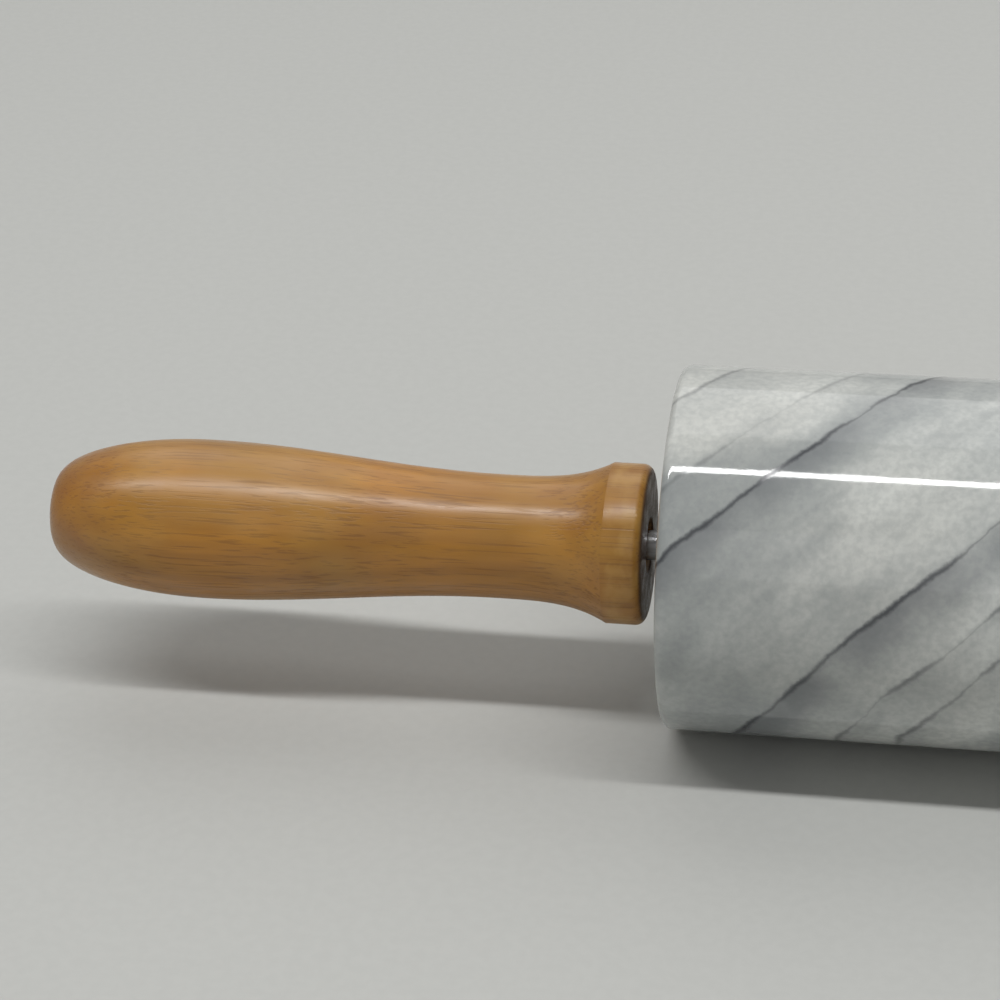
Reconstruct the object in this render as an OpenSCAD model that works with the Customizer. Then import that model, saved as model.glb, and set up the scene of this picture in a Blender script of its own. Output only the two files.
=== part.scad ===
/* [Barrel] */
// Outside diameter of the marble barrel
barrel_d = 60; // [40:1:90]
// Length of the marble barrel
barrel_l = 254; // [150:1:450]
// Radius of the rounded edge at each end of the barrel
barrel_edge_r = 1.6; // [0.5:0.1:4]
// Diameter of the hole drilled through the barrel
barrel_bore_d = 16; // [12:0.5:22]

/* [Handles] */
// Length of one handle, from its inner face to its outer end
handle_l = 101; // [80:1:140]
// Diameter of the collar next to the barrel
collar_d = 26.6; // [24:0.2:32]
// Length of the collar, from the inner face to the corner where it narrows
collar_l = 6.4; // [3:0.2:12]
// Diameter of the neck at its thinnest point
neck_d = 20.6; // [17:0.2:24]
// Distance from the inner face to the thinnest point of the neck
neck_from_face = 25; // [16:0.5:30]
// Largest diameter of the grip
grip_d = 26.8; // [24:0.2:36]
// Length of the rounded nose, from the widest point of the grip to the outer end
nose_l = 26; // [12:0.5:35]
// Diameter of the flat at the outer end
end_flat_d = 11; // [4:0.5:16]
// Radius of the rounded edge at the inner face
face_edge_r = 1.6; // [0.4:0.1:2.5]
// How sharply the collar falls away to the neck: higher is sharper
cove_power = 3.4; // [2:0.1:5]

/* [Axle rod] */
// Diameter of the steel rod
rod_d = 5; // [4:0.5:8]
// Length of rod inside each handle
rod_in_handle = 28; // [15:1:40]
// Chamfer on each end of the rod
rod_chamfer = 0.6; // [0.2:0.1:1.2]

/* [Bushings and washers] */
// Length of a bushing inside the barrel
bushing_l = 20; // [8:1:40]
// Width of the bushing's flange outside the hole
flange_lip = 3; // [1:0.5:6]
// Thickness of the bushing's flange
flange_t = 1.2; // [0.8:0.1:2.5]
// Width of a washer's ring outside the rod
washer_ring = 2.35; // [1:0.05:5]
// Thickness of a washer
washer_t = 1; // [0.5:0.1:2]

/* [Threaded inserts] */
// Wall of the insert round the rod's thread
insert_wall = 2; // [1:0.1:3]
// Length of an insert
insert_l = 16; // [8:1:20]
// Depth of the insert below the handle's inner face
insert_recess = 1; // [0:0.5:3]
// Number of glue grooves round an insert
groove_count = 3; // [1:1:4]
// Width of a glue groove
groove_w = 1; // [0.5:0.1:1.5]
// Depth of a glue groove
groove_depth = 0.5; // [0.2:0.1:0.8]

/* [Clearances] */
// Free travel of the barrel along the rod, to each side
end_float = 1.9; // [0.5:0.1:4]
// Radial clearance of the rod in a bushing
running_clearance = 0.05; // [0.02:0.01:0.1]
// Radial clearance of a washer on the rod
washer_clearance = 0.15; // [0.1:0.05:0.5]
// Gap between a washer and the bushing's flange
washer_gap = 0.1; // [0.05:0.05:0.3]
// Radial gap at the rod's thread in the insert
thread_clearance = 0.03; // [0.02:0.01:0.1]
// Radial gap filled with glue round a bushing and an insert
glue_gap = 0.05; // [0.02:0.01:0.2]
// Free depth past the end of the rod and the insert in a handle
end_gap = 2; // [0.5:0.5:5]

/* [Hidden] */

$fn = 96;
edge_fn = 48;

// Which way an end of the pin points along X
left = -1;
right = 1;

// How far a cutter runs past the piece that it cuts
overshoot = 1;

// Number of steps in each stretch of the handle's outline
edge_steps = 8;
cove_steps = 14;
grip_steps = 18;
nose_steps = 22;

// Distances from the middle of the barrel along the axis
barrel_end_x = barrel_l / 2;
washer_x = barrel_end_x + flange_t + washer_gap;
handle_face_x = washer_x + washer_t + end_float;
rod_l = 2 * (handle_face_x + rod_in_handle);

// Distances from the handle's inner face
grip_from_face = handle_l - nose_l;
insert_hole_depth = insert_recess + insert_l + end_gap;
rod_hole_depth = rod_in_handle + end_gap;

// Diameters that follow the rod and the hole through the barrel
bushing_bore_d = rod_d + 2 * running_clearance;
bushing_d = barrel_bore_d - 2 * glue_gap;
flange_d = barrel_bore_d + 2 * flange_lip;
washer_bore_d = rod_d + 2 * washer_clearance;
washer_d = washer_bore_d + 2 * washer_ring;
insert_bore_d = rod_d + 2 * thread_clearance;
insert_d = insert_bore_d + 2 * insert_wall;
insert_hole_d = insert_d + 2 * glue_gap;
rod_hole_d = insert_bore_d;

// Turns a piece drawn along +Z so that it points outwards at one end of the pin
module at_end(side, x) {
  translate([side * x, 0, 0])
    rotate([0, side * 90, 0])
      children();
}

// A hole along Z that is open at both ends
module through_hole(d, from, to) {
  translate([0, 0, from - overshoot]) cylinder(h = to - from + 2 * overshoot, d = d);
}

// A hole along +Z from a piece's inner face, with a flat end
module blind_hole(d, depth) {
  translate([0, 0, -overshoot]) cylinder(h = depth + overshoot, d = d);
}

// The handle's outline, as [radius, distance from the inner face], starts with the face's rounded edge
function face_edge() = [
  for (i = [0 : edge_steps])
    let (a = 90 * i / edge_steps)
      [collar_d / 2 - face_edge_r * (1 - sin(a)), face_edge_r * (1 - cos(a))]
];

// The hollow that falls away from the collar to the neck
function cove() = [
  for (i = [0 : cove_steps - 1])
    let (t = 1 - cos(90 * i / cove_steps))
      [
        neck_d / 2 + (collar_d - neck_d) / 2 * pow(1 - t, cove_power),
        collar_l + (neck_from_face - collar_l) * t
      ]
];

// The swell from the neck to the widest point of the grip
function grip() = [
  for (i = [0 : grip_steps - 1])
    let (t = i / grip_steps)
      [
        neck_d / 2 + (grip_d - neck_d) / 2 * (1 - cos(180 * t)) / 2,
        neck_from_face + (grip_from_face - neck_from_face) * t
      ]
];

// The nose, a quarter of an ellipse that ends at the flat
function nose() = [
  for (i = [0 : nose_steps])
    let (a = 90 * i / nose_steps)
      [
        end_flat_d / 2 + (grip_d - end_flat_d) / 2 * cos(a),
        grip_from_face + nose_l * sin(a)
      ]
];

function handle_outline() = concat([[0, 0]], face_edge(), cove(), grip(), nose(), [[0, handle_l]]);

// Half section of the barrel before it is drilled
module barrel_section() {
  core_r = barrel_d / 2 - barrel_edge_r;
  flat_l = barrel_l - 2 * barrel_edge_r;
  translate([0, -barrel_l / 2]) square([core_r, barrel_l]);
  translate([0, -flat_l / 2]) square([barrel_d / 2, flat_l]);
  for (side = [left, right])
    translate([core_r, side * flat_l / 2]) circle(r = barrel_edge_r, $fn = edge_fn);
}

module barrel() {
  color("#d3d6d3")
    rotate([0, 90, 0])
      difference() {
        rotate_extrude() barrel_section();
        through_hole(barrel_bore_d, -barrel_l / 2, barrel_l / 2);
      }
}

module axle_rod() {
  r = rod_d / 2;
  half_l = rod_l / 2;
  color("#c9ccce")
    rotate([0, 90, 0])
      rotate_extrude()
        polygon([
          [0, -half_l],
          [r - rod_chamfer, -half_l],
          [r, rod_chamfer - half_l],
          [r, half_l - rod_chamfer],
          [r - rod_chamfer, half_l],
          [0, half_l]
        ]);
}

module bushing() {
  color("#e8e6dd")
    difference() {
      union() {
        cylinder(h = flange_t, d = flange_d);
        translate([0, 0, -bushing_l]) cylinder(h = bushing_l + flange_t, d = bushing_d);
      }
      through_hole(bushing_bore_d, -bushing_l, flange_t);
    }
}

module washer() {
  color("#b4b6b6")
    difference() {
      cylinder(h = washer_t, d = washer_d);
      through_hole(washer_bore_d, 0, washer_t);
    }
}

module insert() {
  groove_pitch = insert_l / (groove_count + 1);
  color("#b5893f")
    translate([0, 0, insert_recess])
      rotate_extrude()
        difference() {
          translate([insert_bore_d / 2, 0]) square([insert_wall, insert_l]);
          for (i = [1 : groove_count])
            translate([insert_d / 2 - groove_depth, i * groove_pitch - groove_w / 2])
              square([groove_depth + overshoot, groove_w]);
        }
}

module handle() {
  color("#b07a28")
    difference() {
      rotate_extrude() polygon(handle_outline());
      blind_hole(insert_hole_d, insert_hole_depth);
      blind_hole(rod_hole_d, rod_hole_depth);
    }
}

module left_bushing() { at_end(left, barrel_end_x) bushing(); }

module right_bushing() { at_end(right, barrel_end_x) bushing(); }

module left_washer() { at_end(left, washer_x) washer(); }

module right_washer() { at_end(right, washer_x) washer(); }

module left_insert() { at_end(left, handle_face_x) insert(); }

module right_insert() { at_end(right, handle_face_x) insert(); }

module left_handle() { at_end(left, handle_face_x) handle(); }

module right_handle() { at_end(right, handle_face_x) handle(); }

barrel();
axle_rod();
left_bushing();
right_bushing();
left_washer();
right_washer();
left_insert();
right_insert();
left_handle();
right_handle();
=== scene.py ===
import math

import bmesh
import bpy
from mathutils import Matrix, Vector


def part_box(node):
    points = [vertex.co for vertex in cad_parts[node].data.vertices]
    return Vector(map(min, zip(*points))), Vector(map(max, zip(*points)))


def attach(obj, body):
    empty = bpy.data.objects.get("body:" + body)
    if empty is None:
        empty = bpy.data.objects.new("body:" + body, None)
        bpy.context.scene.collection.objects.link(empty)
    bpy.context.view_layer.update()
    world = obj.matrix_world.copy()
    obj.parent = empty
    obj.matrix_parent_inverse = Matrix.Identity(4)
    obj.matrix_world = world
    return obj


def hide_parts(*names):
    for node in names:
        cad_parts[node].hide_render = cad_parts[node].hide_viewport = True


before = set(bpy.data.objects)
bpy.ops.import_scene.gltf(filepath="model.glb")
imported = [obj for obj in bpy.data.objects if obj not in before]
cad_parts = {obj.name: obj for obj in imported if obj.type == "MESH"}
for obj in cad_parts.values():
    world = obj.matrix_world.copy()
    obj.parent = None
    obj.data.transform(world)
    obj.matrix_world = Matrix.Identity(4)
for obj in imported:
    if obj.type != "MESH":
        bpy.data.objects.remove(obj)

mm = 0.001
left, right = -1, 1      # which way an end of the pin points along X
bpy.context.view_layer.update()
print("frame loaded:", sorted(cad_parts))


def addNode(tree, kind, values=None, **settings):
    node = tree.nodes.new(kind)
    for name, value in settings.items():
        setattr(node, name, value)
    for key, value in (values or {}).items():
        if isinstance(value, bpy.types.NodeSocket):
            tree.links.new(value, node.inputs[key])
        else:
            node.inputs[key].default_value = value
    return node


def calc(tree, operation, a, b=0.0, clamp=False):
    node = addNode(tree, "ShaderNodeMath", {0: a, 1: b}, operation=operation, use_clamp=clamp)
    return node.outputs[0]


def times(tree, a, b):
    return calc(tree, "MULTIPLY", a, b)


def vectorCalc(tree, operation, a, b):
    return addNode(tree, "ShaderNodeVectorMath", {0: a, 1: b}, operation=operation).outputs[0]


def axesOf(tree, vector):
    return addNode(tree, "ShaderNodeSeparateXYZ", {0: vector}).outputs


def remap(tree, value, fromLow, fromHigh, toLow, toHigh):
    node = addNode(tree, "ShaderNodeMapRange", {
        "Value": value,
        "From Min": fromLow,
        "From Max": fromHigh,
        "To Min": toLow,
        "To Max": toHigh,
    }, interpolation_type="SMOOTHSTEP")
    return node.outputs["Result"]


def layer(tree, color, tone, mask, share=1.0):
    # lays a tone over a colour where the mask is high, as strongly as share says
    node = addNode(tree, "ShaderNodeMix", {0: times(tree, mask, share), 6: color, 7: tone}, data_type="RGBA")
    return node.outputs[2]


def bumpNormal(tree, height, strength, distance):
    node = addNode(tree, "ShaderNodeBump", {"Height": height, "Strength": strength, "Distance": distance})
    return node.outputs[0]


def newGroup(name, inputs, outputs):
    tree = bpy.data.node_groups.new(name, "ShaderNodeTree")
    for socketName, kind, value in inputs:
        socket = tree.interface.new_socket(name=socketName, in_out="INPUT", socket_type=kind)
        socket.default_value = value
    for socketName in outputs:
        tree.interface.new_socket(name=socketName, in_out="OUTPUT", socket_type="NodeSocketFloat")
    given = tree.nodes.new("NodeGroupInput").outputs
    result = tree.nodes.new("NodeGroupOutput").inputs
    return tree, given, result


def buildMottle():
    # stretched noise, which grain, drawing lines, clouds and stains all need
    tree, given, result = newGroup("mottle", [
        ("Vector", "NodeSocketVector", (0, 0, 0)),
        ("Stretch", "NodeSocketVector", (1, 1, 1)),
        ("Scale", "NodeSocketFloat", 100.0),
        ("Detail", "NodeSocketFloat", 3.0),
        ("Low", "NodeSocketFloat", 0.0),
        ("High", "NodeSocketFloat", 1.0),
    ], ["Value"])
    stretched = vectorCalc(tree, "MULTIPLY", given["Vector"], given["Stretch"])
    noise = addNode(tree, "ShaderNodeTexNoise", {
        "Vector": stretched,
        "Scale": given["Scale"],
        "Detail": given["Detail"],
    })
    value = remap(tree, noise.outputs[0], 0.3, 0.7, given["Low"], given["High"])
    tree.links.new(value, result["Value"])
    return tree


def buildVein():
    # one slanting sheet through the stone: a thin line, and a soft grey feather on its far side
    tree, given, result = newGroup("veinSheet", [
        ("Vector", "NodeSocketVector", (0, 0, 0)),
        ("Place", "NodeSocketFloat", 0.0),
        ("Lean Y", "NodeSocketFloat", 0.7),
        ("Lean Z", "NodeSocketFloat", 0.8),
        ("Width", "NodeSocketFloat", 1 * mm),
        ("Line Strength", "NodeSocketFloat", 1.0),
        ("Feather Width", "NodeSocketFloat", 12 * mm),
        ("Feather Strength", "NodeSocketFloat", 0.5),
    ], ["Line", "Feather"])
    featherStart = 1.2 * mm
    axes = axesOf(tree, given["Vector"])
    leaning = calc(tree, "ADD", times(tree, axes[1], given["Lean Y"]), times(tree, axes[2], given["Lean Z"]))
    distance = calc(tree, "SUBTRACT", calc(tree, "SUBTRACT", axes[0], leaning), given["Place"])
    patch = addNode(tree, "ShaderNodeTexNoise", {"Vector": given["Vector"], "Scale": 70.0, "Detail": 2.0})
    patchMask = remap(tree, patch.outputs[0], 0.34, 0.58, 0.35, 1.0)
    width = times(tree, given["Width"], patchMask)
    line = remap(tree, calc(tree, "ABSOLUTE", distance), 0.0, width, 1.0, 0.0)
    line = times(tree, times(tree, line, patchMask), given["Line Strength"])
    behind = remap(tree, distance, 0.0, given["Feather Width"], 1.0, 0.0)
    ahead = remap(tree, distance, -featherStart, 0.0, 0.0, 1.0)
    feather = times(tree, times(tree, behind, ahead), given["Feather Strength"])
    tree.links.new(line, result["Line"])
    tree.links.new(times(tree, feather, patchMask), result["Feather"])
    return tree


mottleTree = buildMottle()
veinTree = buildVein()


def placeGroup(tree, group, values):
    return addNode(tree, "ShaderNodeGroup", values, node_tree=group).outputs


def mottle(tree, vector, scale, low=0.0, high=1.0, stretch=(1, 1, 1), detail=3.0):
    return placeGroup(tree, mottleTree, {
        "Vector": vector,
        "Scale": scale,
        "Low": low,
        "High": high,
        "Stretch": stretch,
        "Detail": detail,
    })["Value"]


def startMaterial(name, **shaderValues):
    material = bpy.data.materials.new(name)
    material.use_nodes = True
    tree = material.node_tree
    shader = tree.nodes["Principled BSDF"]
    for socketName, value in shaderValues.items():
        shader.inputs[socketName.replace("_", " ")].default_value = value
    place = tree.nodes.new("ShaderNodeTexCoord").outputs["Object"]
    return material, tree, shader, place


def connect(tree, shader, **sources):
    for socketName, source in sources.items():
        tree.links.new(source, shader.inputs[socketName.replace("_", " ")])


marbleLook = {
    "pale": (0.64, 0.66, 0.635, 1),
    "warm": (0.60, 0.60, 0.56, 1),
    "cloud": (0.22, 0.24, 0.245, 1),
    "feather": (0.16, 0.17, 0.18, 1),
    "vein": (0.045, 0.048, 0.055, 1),
    "warp": 5 * mm,                  # how far the veins wander from a flat sheet
    "warpScale": 34.0,
    "bedding": (-39.7, 28.3),        # degrees about Y and Z that lay the clouds along the veins
    "cloudScale": 46.0,
    "cloudStretch": (1, 0.42, 0.42),
    "cloudShare": 0.66,
    "wispScale": 150.0,
    "wispStretch": (1, 0.25, 0.25),
    "wispShare": 0.34,
    "fineScale": 900.0,
    "fineShare": 0.26,
    "crystalScale": 1300.0,
    "crystalShare": 0.08,
    "lineShare": 0.85,
    "polish": (0.045, 0.075),        # lowest and highest roughness
    "veinRoughness": 0.12,
    "bump": 0.12,
    "bumpDepth": 0.04 * mm,
    # place on the axis in mm, lean across, lean up, width in mm, line, feather width in mm, feather
    "veins": [
        (-144, 0.80, 0.72, 0.9, 0.45, 5, 0.15),
        (-126, 0.80, 0.72, 1.0, 0.30, 7, 0.20),
        (-114, 0.79, 0.72, 1.0, 1.00, 10, 0.70),
        (-81, 0.60, 0.94, 1.1, 0.95, 14, 0.80),
        (-66, 0.60, 0.90, 1.0, 0.55, 6, 0.35),
        (-57, 0.60, 0.90, 1.0, 0.60, 7, 0.30),
        (-27, 0.70, 0.85, 1.0, 0.90, 12, 0.70),
        (6, 0.85, 0.60, 1.2, 0.60, 8, 0.35),
        (31, 0.60, 0.90, 0.9, 1.00, 14, 0.75),
        (66, 0.75, 0.75, 1.1, 0.75, 9, 0.35),
        (98, 0.60, 0.95, 1.0, 0.95, 12, 0.70),
        (133, 0.80, 0.70, 0.9, 0.50, 8, 0.25),
    ],
}


def veinMasks(tree, stone):
    lines = feathers = None
    for spot, leanY, leanZ, width, lineStrength, featherWidth, featherStrength in marbleLook["veins"]:
        vein = placeGroup(tree, veinTree, {
            "Vector": stone,
            "Place": spot * mm,
            "Lean Y": leanY,
            "Lean Z": leanZ,
            "Width": width * mm,
            "Line Strength": lineStrength,
            "Feather Width": featherWidth * mm,
            "Feather Strength": featherStrength,
        })
        lines = calc(tree, "MAXIMUM", lines, vein["Line"]) if lines else vein["Line"]
        feathers = calc(tree, "MAXIMUM", feathers, vein["Feather"]) if feathers else vein["Feather"]
    return lines, feathers


def makeMarble():
    look = marbleLook
    material, tree, shader, place = startMaterial("marble", IOR=1.5)
    warp = addNode(tree, "ShaderNodeTexNoise", {
        "Vector": place,
        "Scale": look["warpScale"],
        "Detail": 7.0,
        "Roughness": 0.66,
    })
    centred = vectorCalc(tree, "SUBTRACT", warp.outputs["Color"], (0.5, 0.5, 0.5))
    stone = vectorCalc(tree, "ADD", place, vectorCalc(tree, "MULTIPLY", centred, (look["warp"],) * 3))
    lines, feathers = veinMasks(tree, stone)
    beddingY, beddingZ = [math.radians(angle) for angle in look["bedding"]]
    laid = addNode(tree, "ShaderNodeMapping", {"Vector": stone, "Rotation": (0, beddingY, beddingZ)})
    slant = laid.outputs[0]
    clouds = mottle(tree, slant, look["cloudScale"], stretch=look["cloudStretch"], detail=5.0)
    clouds = remap(tree, clouds, 0.35, 0.95, 0.0, 1.0)
    wisps = mottle(tree, slant, look["wispScale"], stretch=look["wispStretch"], detail=6.0)
    fine = mottle(tree, place, look["fineScale"], detail=4.0)
    crystals = addNode(tree, "ShaderNodeTexVoronoi", {"Vector": place, "Scale": look["crystalScale"]})
    warmth = mottle(tree, place, 22.0, high=0.7)
    color = layer(tree, look["pale"], look["warm"], warmth)
    color = layer(tree, color, look["cloud"], clouds, look["cloudShare"])
    color = layer(tree, color, look["cloud"], wisps, look["wispShare"])
    color = layer(tree, color, look["cloud"], fine, look["fineShare"])
    color = layer(tree, color, look["pale"], crystals.outputs["Color"], look["crystalShare"])
    color = layer(tree, color, look["feather"], feathers)
    color = layer(tree, color, look["vein"], lines, look["lineShare"])
    polish = mottle(tree, place, 160.0, *look["polish"])
    rough = calc(tree, "ADD", polish, times(tree, lines, look["veinRoughness"]))
    height = calc(tree, "SUBTRACT", times(tree, fine, 0.3), lines)
    normal = bumpNormal(tree, height, look["bump"], look["bumpDepth"])
    connect(tree, shader, Base_Color=color, Roughness=rough, Normal=normal)
    return material


woodLook = {
    "honey": (0.45, 0.19, 0.014, 1),
    "olive": (0.33, 0.15, 0.011, 1),
    "ring": (0.27, 0.105, 0.008, 1),
    "pore": (0.13, 0.048, 0.005, 1),
    "tip": (0.25, 0.085, 0.018, 1),
    "worn": (0.54, 0.31, 0.075, 1),
    # inner end face: end grain's own darker tone, deepened further into painted shade for the gap beside the
    # barrel
    "endGrainAndShade": (0.075, 0.032, 0.010, 1),
    "pith": (0, 34 * mm, -22 * mm),  # middle of the tree, beside the turning blank
    "ringPitch": 2.4 * mm,
    "ringSway": 4 * mm,
    "ringShare": 0.28,
    "streakScale": 520.0,
    "streakStretch": (0.03, 1, 1),
    "streakShare": 0.36,
    "poreScale": 2600.0,
    "poreStretch": (0.02, 1, 1),
    "poreShare": 0.42,
    "tipLength": 15 * mm,            # reddish end of the grip
    "tipShare": 0.75,
    "collarWear": (5.0 * mm, 6.6 * mm),
    "collarShare": 0.6,
    "handShare": 0.5,
    "faceDepth": (0.02 * mm, 0.5 * mm),
    "roughness": (0.30, 0.48),
    "coat": (0.35, 0.65),
    "bump": 0.35,
    "bumpDepth": 0.06 * mm,
}


def woodRings(tree, place):
    # growth rings round the pith, cut by the turned shape
    look = woodLook
    drawnOut = vectorCalc(tree, "MULTIPLY", place, (0.35, 1, 1))
    sway = addNode(tree, "ShaderNodeTexNoise", {"Vector": drawnOut, "Scale": 55.0, "Detail": 3.0})
    swayBy = vectorCalc(tree, "MULTIPLY", sway.outputs["Color"], (0, look["ringSway"], look["ringSway"]))
    across = vectorCalc(tree, "MULTIPLY", vectorCalc(tree, "ADD", place, swayBy), (0, 1, 1))
    fromPith = vectorCalc(tree, "SUBTRACT", across, look["pith"])
    length = addNode(tree, "ShaderNodeVectorMath", {0: fromPith}, operation="LENGTH").outputs["Value"]
    turns = times(tree, length, 2 * math.pi / look["ringPitch"])
    return remap(tree, calc(tree, "SINE", turns), -0.4, 1.0, 0.0, 1.0)


def makeWood():
    look = woodLook
    faceAt, tipAt = sorted(abs(corner.x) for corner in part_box("left_handle"))
    material, tree, shader, place = startMaterial("varnishedWood", IOR=1.5, Coat_Roughness=0.26)
    rings = woodRings(tree, place)
    pores = mottle(tree, place, look["poreScale"], stretch=look["poreStretch"], detail=4.0)
    pores = remap(tree, pores, 0.60, 1.0, 0.0, 1.0)
    streaks = mottle(tree, place, look["streakScale"], stretch=look["streakStretch"], detail=5.0)
    patches = mottle(tree, place, 75.0, stretch=(0.5, 1, 1), detail=4.0)
    color = layer(tree, look["honey"], look["olive"], patches)
    color = layer(tree, color, look["ring"], rings, look["ringShare"])
    color = layer(tree, color, look["ring"], streaks, look["streakShare"])
    color = layer(tree, color, look["pore"], pores, look["poreShare"])

    along = calc(tree, "ABSOLUTE", axesOf(tree, place)[0])
    nearTip = remap(tree, along, tipAt - look["tipLength"], tipAt, 0.0, 1.0)
    tipMask = times(tree, nearTip, mottle(tree, place, 120.0, low=0.35))
    color = layer(tree, color, look["tip"], tipMask, look["tipShare"])

    wearFull, wearEnd = look["collarWear"]
    nearCollar = remap(tree, along, faceAt + wearEnd, faceAt + wearFull, 0.0, 1.0)
    collarMask = times(tree, nearCollar, mottle(tree, place, 300.0, high=0.8))
    handMask = mottle(tree, place, 48.0, low=-0.5, high=0.5)
    collarWorn = times(tree, collarMask, look["collarShare"])
    handWorn = times(tree, handMask, look["handShare"])
    color = layer(tree, color, look["worn"], calc(tree, "MAXIMUM", collarWorn, handWorn, clamp=True))

    # the band at the inner face takes the near-black colour, partly real end grain and partly painted shade
    # of the gap by the barrel
    faceFull, faceEnd = look["faceDepth"]
    faceMask = remap(tree, along, faceAt + faceEnd, faceAt + faceFull, 0.0, 1.0)
    color = layer(tree, color, look["endGrainAndShade"], faceMask)

    satin = mottle(tree, place, 400.0, *look["roughness"], stretch=(0.1, 1, 1))
    rough = calc(tree, "ADD", satin, times(tree, pores, 0.15))
    coat = calc(tree, "SUBTRACT", mottle(tree, place, 90.0, *look["coat"]), faceMask, clamp=True)
    height = calc(tree, "ADD", times(tree, pores, -1.0), times(tree, streaks, -0.4))
    normal = bumpNormal(tree, height, look["bump"], look["bumpDepth"])
    connect(tree, shader, Base_Color=color, Roughness=rough, Coat_Weight=coat, Normal=normal)
    return material


fittingLooks = {
    "brightSteel": {
        "light": (0.68, 0.69, 0.70, 1),
        "dark": (0.42, 0.43, 0.44, 1),
        "roughness": (0.16, 0.32),
        "metallic": 1.0,
        "markScale": 2600.0,
        "markStretch": (0.03, 1, 1),    # drawing lines along the rod
    },
    "nylon": {
        "light": (0.80, 0.78, 0.70, 1),
        "dark": (0.68, 0.65, 0.56, 1),
        "roughness": (0.38, 0.52),
        "metallic": 0.0,
        "markScale": 420.0,
        "markStretch": (1, 1, 1),
    },
    "platedSteel": {
        "light": (0.60, 0.61, 0.62, 1),
        "dark": (0.44, 0.45, 0.44, 1),
        "roughness": (0.26, 0.42),
        "metallic": 1.0,
        "markScale": 700.0,
        "markStretch": (1, 1, 1),
    },
    "brass": {
        "light": (0.72, 0.49, 0.19, 1),
        "dark": (0.48, 0.29, 0.09, 1),
        "roughness": (0.22, 0.40),
        "metallic": 1.0,
        "markScale": 1500.0,
        "markStretch": (1, 0.2, 0.2),   # turning marks round the insert
    },
}


def makeFitting(name):
    look = fittingLooks[name]
    material, tree, shader, place = startMaterial(name, Metallic=look["metallic"])
    marks = mottle(tree, place, look["markScale"], stretch=look["markStretch"], detail=4.0)
    stains = mottle(tree, place, 160.0, high=0.6)
    darker = calc(tree, "MAXIMUM", times(tree, marks, 0.5), stains)
    color = layer(tree, look["light"], look["dark"], darker)
    sheen = mottle(tree, place, 300.0, *look["roughness"])
    rough = calc(tree, "ADD", sheen, times(tree, marks, 0.06))
    normal = bumpNormal(tree, marks, 0.15, 0.01 * mm)
    connect(tree, shader, Base_Color=color, Roughness=rough, Normal=normal)
    return material


materials = {"marble": makeMarble(), "varnishedWood": makeWood()}
for fittingName in fittingLooks:
    materials[fittingName] = makeFitting(fittingName)
print("materials made:", sorted(materials))

roundAbove = math.radians(38)        # corners sharper than this are rounded
creaseAbove = math.radians(34)       # what is still sharper than this is shaded as an edge
quarterTurn = math.pi / 2


def turned(name, outline, segments, edgeRound, closed):
    # outline is [distance along the axis, radius] in mm, turned round the axis of the pin
    shape = bmesh.new()
    points = [shape.verts.new((x * mm, r * mm, 0)) for x, r in outline]
    pairs = list(zip(points, points[1:]))
    if closed:
        pairs.append((points[-1], points[0]))
    lines = [shape.edges.new(pair) for pair in pairs]
    bmesh.ops.spin(shape, geom=points + lines, cent=(0, 0, 0), axis=(1, 0, 0), dvec=(0, 0, 0),
                   angle=2 * math.pi, steps=segments, use_merge=True, use_duplicate=False)
    bmesh.ops.remove_doubles(shape, verts=shape.verts[:], dist=0.001 * mm)
    bmesh.ops.recalc_face_normals(shape, faces=shape.faces[:])
    if edgeRound:
        corners = [e for e in shape.edges if len(e.link_faces) == 2 and e.calc_face_angle(0) > roundAbove]
        bmesh.ops.bevel(shape, geom=corners, offset=edgeRound * mm, segments=3, profile=0.5,
                        affect="EDGES", clamp_overlap=True, material=-1)
    for face in shape.faces:
        face.smooth = True
    for edge in shape.edges:
        if edge.calc_face_angle(0) > creaseAbove:
            edge.smooth = False
    return newObject(name, shape)


def newObject(name, shape):
    mesh = bpy.data.meshes.new(name)
    shape.to_mesh(mesh)
    shape.free()
    piece = bpy.data.objects.new(name, mesh)
    bpy.context.scene.collection.objects.link(piece)
    return piece


def finishPiece(piece, node, body, material):
    piece.data.materials.append(materials[material])
    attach(piece, body)
    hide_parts(node)
    print("made", piece.name, "faces:", len(piece.data.polygons))


def reach(node):
    # nearest and furthest distance from the middle of the pin, and the radius, in mm
    low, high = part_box(node)
    near, far = sorted((abs(low.x / mm), abs(high.x / mm)))
    return near, far, high.z / mm


barrelSize = {
    "edgeRadius": 1.6,
    "edgeSteps": 8,
    "boreRadius": 8.0,
    "boreChamfer": 0.4,
    "segments": 192,
    "bands": 24,
}


def makeBarrel():
    size = barrelSize
    near, end, radius = reach("barrel")
    edge = size["edgeRadius"]
    rim = []
    for i in range(size["edgeSteps"] + 1):
        a = quarterTurn * i / size["edgeSteps"]
        rim.append((end - edge * (1 - math.sin(a)), radius - edge + edge * math.cos(a)))
    mouth = size["boreRadius"] + size["boreChamfer"]
    rightEnd = rim + [(end, mouth), (end - size["boreChamfer"], size["boreRadius"])]
    leftEnd = [(-x, r) for x, r in reversed(rightEnd)]
    flat = end - edge
    bands = [(-flat + 2 * flat * i / size["bands"], radius) for i in range(1, size["bands"])]
    barrel = turned("marbleBarrel", leftEnd + bands + rightEnd, size["segments"], 0, True)
    finishPiece(barrel, "barrel", "barrel", "marble")


rodSize = {"chamfer": 0.6, "edgeRound": 0.12, "segments": 96}


def makeRod():
    near, end, radius = reach("axle_rod")
    chamfer = rodSize["chamfer"]
    rightEnd = [(end - chamfer, radius), (end, radius - chamfer), (end, 0)]
    leftEnd = [(-x, r) for x, r in reversed(rightEnd)]
    rod = turned("steelRod", leftEnd + rightEnd, rodSize["segments"], rodSize["edgeRound"], False)
    finishPiece(rod, "axle_rod", "axle", "brightSteel")


ringSize = {"edgeRound": 0.15, "segments": 128}


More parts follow.
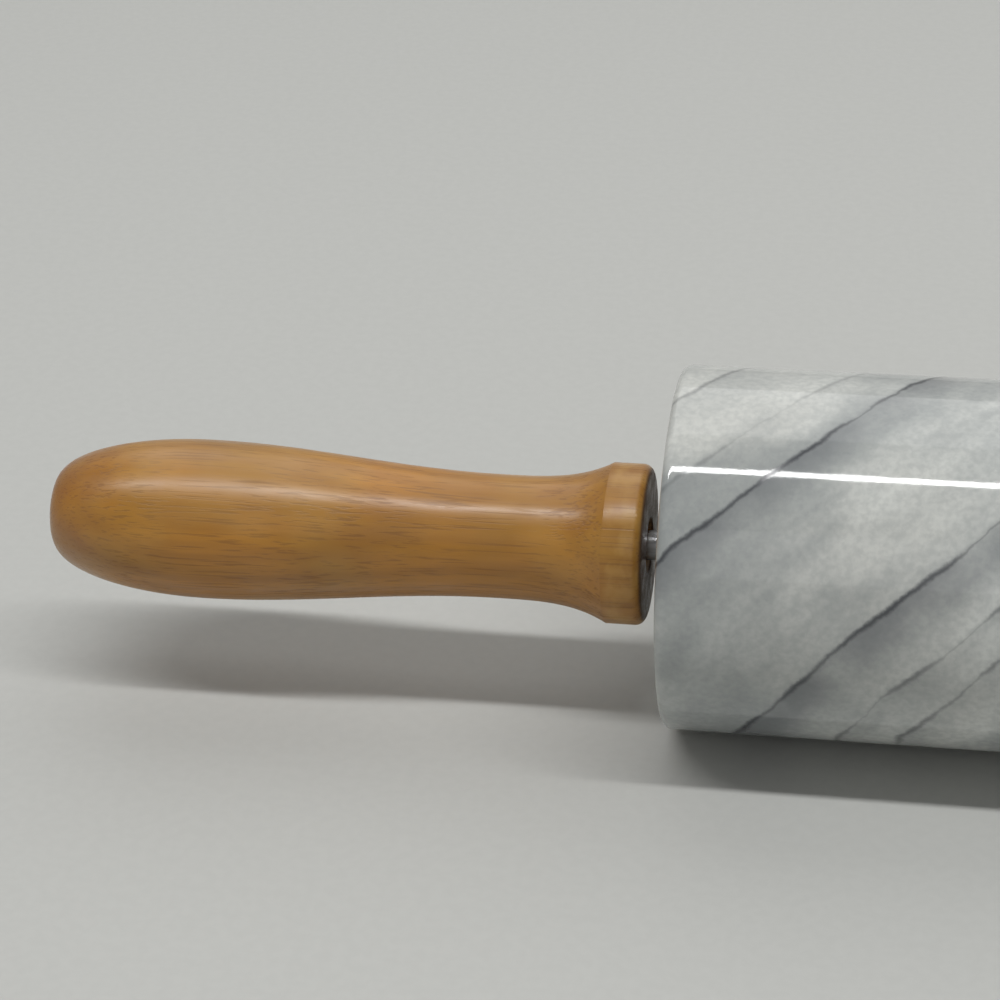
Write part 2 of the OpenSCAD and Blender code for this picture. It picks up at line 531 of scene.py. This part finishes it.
def makeRing(side, node, name, body, material, profile):
    outline = [(side * x, r) for x, r in profile]
    ring = turned(name, outline, ringSize["segments"], ringSize["edgeRound"], True)
    finishPiece(ring, node, body, material)


bushingSize = {"boreRadius": 2.55, "bodyRadius": 7.95, "bodyLength": 20}


def makeBushing(side, word):
    near, far, flange = reach(word + "_bushing")
    bore = bushingSize["boreRadius"]
    body = bushingSize["bodyRadius"]
    shoulder = near + bushingSize["bodyLength"]
    makeRing(side, word + "_bushing", word + "NylonBushing", "barrel", "nylon", [
        (near, bore), (near, body), (shoulder, body), (shoulder, flange), (far, flange), (far, bore),
    ])


washerSize = {"boreRadius": 2.65}


def makeWasher(side, word):
    near, far, radius = reach(word + "_washer")
    bore = washerSize["boreRadius"]
    makeRing(side, word + "_washer", word + "PlatedWasher", "washers", "platedSteel", [
        (near, bore), (near, radius), (far, radius), (far, bore),
    ])


insertSize = {"boreRadius": 2.53, "grooves": 3, "groovePitch": 4, "grooveWidth": 1, "grooveDepth": 0.5}


def makeInsert(side, word):
    size = insertSize
    near, far, radius = reach(word + "_insert")
    bottom = radius - size["grooveDepth"]
    outline = [(near, size["boreRadius"]), (near, radius)]
    for i in range(1, size["grooves"] + 1):
        start = near + size["groovePitch"] * i - size["grooveWidth"] / 2
        finish = start + size["grooveWidth"]
        outline += [(start, radius), (start, bottom), (finish, bottom), (finish, radius)]
    outline += [(far, radius), (far, size["boreRadius"])]
    makeRing(side, word + "_insert", word + "BrassInsert", "axle", "brass", outline)


handleSize = {
    "collarRadius": 13.3,
    "collarLength": 6.4,
    "neckRadius": 10.3,
    "neckFromFace": 25,
    "gripRadius": 13.4,
    "gripFromFace": 75,
    "noseLength": 26,
    "flatRadius": 5.5,
    "faceRound": 1.6,
    "covePower": 3.4,                # how sharply the collar falls away to the neck
    "insertHoleRadius": 4.58,
    "insertHoleDepth": 19,
    "rodHoleRadius": 2.53,
    "rodHoleDepth": 30,
    "cornerRound": 0.35,
    "faceSteps": 8,
    "coveSteps": 18,
    "gripSteps": 26,
    "noseSteps": 28,
    "segments": 144,
}


def handleOutline():
    # runs from the bottom of the rod's hole, out over the face and along the grip to the tip
    s = handleSize
    outline = [
        (s["rodHoleDepth"], 0),
        (s["rodHoleDepth"], s["rodHoleRadius"]),
        (s["insertHoleDepth"], s["rodHoleRadius"]),
        (s["insertHoleDepth"], s["insertHoleRadius"]),
        (0, s["insertHoleRadius"]),
    ]
    for i in range(s["faceSteps"] + 1):
        a = quarterTurn * i / s["faceSteps"]
        radius = s["collarRadius"] - s["faceRound"] * (1 - math.sin(a))
        outline.append((s["faceRound"] * (1 - math.cos(a)), radius))
    for i in range(s["coveSteps"]):
        t = 1 - math.cos(quarterTurn * i / s["coveSteps"])
        radius = s["neckRadius"] + (s["collarRadius"] - s["neckRadius"]) * (1 - t) ** s["covePower"]
        outline.append((s["collarLength"] + (s["neckFromFace"] - s["collarLength"]) * t, radius))
    for i in range(s["gripSteps"]):
        t = i / s["gripSteps"]
        radius = s["neckRadius"] + (s["gripRadius"] - s["neckRadius"]) * (1 - math.cos(math.pi * t)) / 2
        outline.append((s["neckFromFace"] + (s["gripFromFace"] - s["neckFromFace"]) * t, radius))
    for i in range(s["noseSteps"] + 1):
        a = quarterTurn * i / s["noseSteps"]
        radius = s["flatRadius"] + (s["gripRadius"] - s["flatRadius"]) * math.cos(a)
        outline.append((s["gripFromFace"] + s["noseLength"] * math.sin(a), radius))
    outline.append((s["gripFromFace"] + s["noseLength"], 0))
    return outline


def makeHandle(side, word):
    face, tip, radius = reach(word + "_handle")
    outline = [(side * (face + distance), r) for distance, r in handleOutline()]
    handle = turned(word + "WoodHandle", outline, handleSize["segments"], handleSize["cornerRound"], False)
    finishPiece(handle, word + "_handle", "axle", "varnishedWood")


makeBarrel()
makeRod()
for side, word in ((left, "left"), (right, "right")):
    makeBushing(side, word)
    makeWasher(side, word)
    makeInsert(side, word)
    makeHandle(side, word)

stageLook = {
    "floorColor": (0.50, 0.505, 0.485, 1),
    "floorSpeck": (0.38, 0.385, 0.37, 1),
    "floorSize": 8.0,
    "worldColor": (1, 1, 0.98, 1),
    "worldPale": 0.34,               # what the camera and reflections see
    "worldFill": 0.24,               # what lights the object
}


def makeFloor():
    look = stageLook
    near, far, radius = reach("barrel")
    shape = bmesh.new()
    bmesh.ops.create_grid(shape, x_segments=4, y_segments=4, size=look["floorSize"] / 2)
    bmesh.ops.translate(shape, verts=shape.verts[:], vec=(0, 0, -radius * mm))
    floor = newObject("floor", shape)
    material, tree, shader, place = startMaterial("floorPaint", Roughness=0.7)
    specks = mottle(tree, place, 500.0, high=0.12)
    connect(tree, shader, Base_Color=layer(tree, look["floorColor"], look["floorSpeck"], specks))
    floor.data.materials.append(material)


def makeWorld():
    look = stageLook
    world = bpy.data.worlds.new("studio")
    bpy.context.scene.world = world
    world.use_nodes = True
    tree = world.node_tree
    rays = tree.nodes.new("ShaderNodeLightPath").outputs
    seen = calc(tree, "MAXIMUM", rays["Is Camera Ray"], rays["Is Glossy Ray"])
    seen = calc(tree, "MAXIMUM", seen, rays["Is Transmission Ray"])
    background = tree.nodes["Background"]
    background.inputs["Color"].default_value = look["worldColor"]
    strength = addNode(tree, "ShaderNodeMapRange", {
        "Value": seen,
        "To Min": look["worldFill"],
        "To Max": look["worldPale"],
    })
    tree.links.new(strength.outputs["Result"], background.inputs["Strength"])


lampSetups = {
    # a long thin tube above the pin draws the white line along the barrel
    "longStrip": {"place": (-0.08, -0.27, 1.45), "target": (-0.08, 0, 0), "size": (2.4, 0.085), "power": 18},
    "panelBehind": {"place": (0, 0.95, 1.25), "target": (0, 0, 0), "size": (2.2, 1.3), "power": 8},
    "frontFill": {"place": (0.3, -1.6, 0.9), "target": (0, 0, 0), "size": (1.6, 1.0), "power": 2.5},
}


def makeLamp(name):
    setup = lampSetups[name]
    data = bpy.data.lights.new(name, "AREA")
    data.shape = "RECTANGLE"
    data.size, data.size_y = setup["size"]
    data.energy = setup["power"]
    lamp = bpy.data.objects.new(name, data)
    place = Vector(setup["place"])
    turn = (Vector(setup["target"]) - place).to_track_quat("-Z", "Y")
    lamp.matrix_world = Matrix.Translation(place) @ turn.to_matrix().to_4x4()
    bpy.context.scene.collection.objects.link(lamp)


cameraSetup = {
    "place": (-80.49, -393.31, 236.32),
    "yaw": 10.864,
    "pitch": 29.805,                 # degrees below the horizon
    "roll": -2.184,
    "lens": 100.8,
    "sensor": 36,
}


def makeCamera():
    setup = cameraSetup
    data = bpy.data.cameras.new("camera")
    data.lens = setup["lens"]
    data.sensor_width = setup["sensor"]
    data.clip_start = 10 * mm
    camera = bpy.data.objects.new("camera", data)
    camera.matrix_world = (Matrix.Translation(Vector(setup["place"]) * mm)
                           @ Matrix.Rotation(math.radians(setup["yaw"]), 4, "Z")
                           @ Matrix.Rotation(math.radians(90 - setup["pitch"]), 4, "X")
                           @ Matrix.Rotation(math.radians(setup["roll"]), 4, "Z"))
    bpy.context.scene.collection.objects.link(camera)
    bpy.context.scene.camera = camera


makeFloor()
makeWorld()
for lampName in lampSetups:
    makeLamp(lampName)
makeCamera()
bpy.context.scene.view_settings.view_transform = "Standard"
print("floor, lamps and camera set")
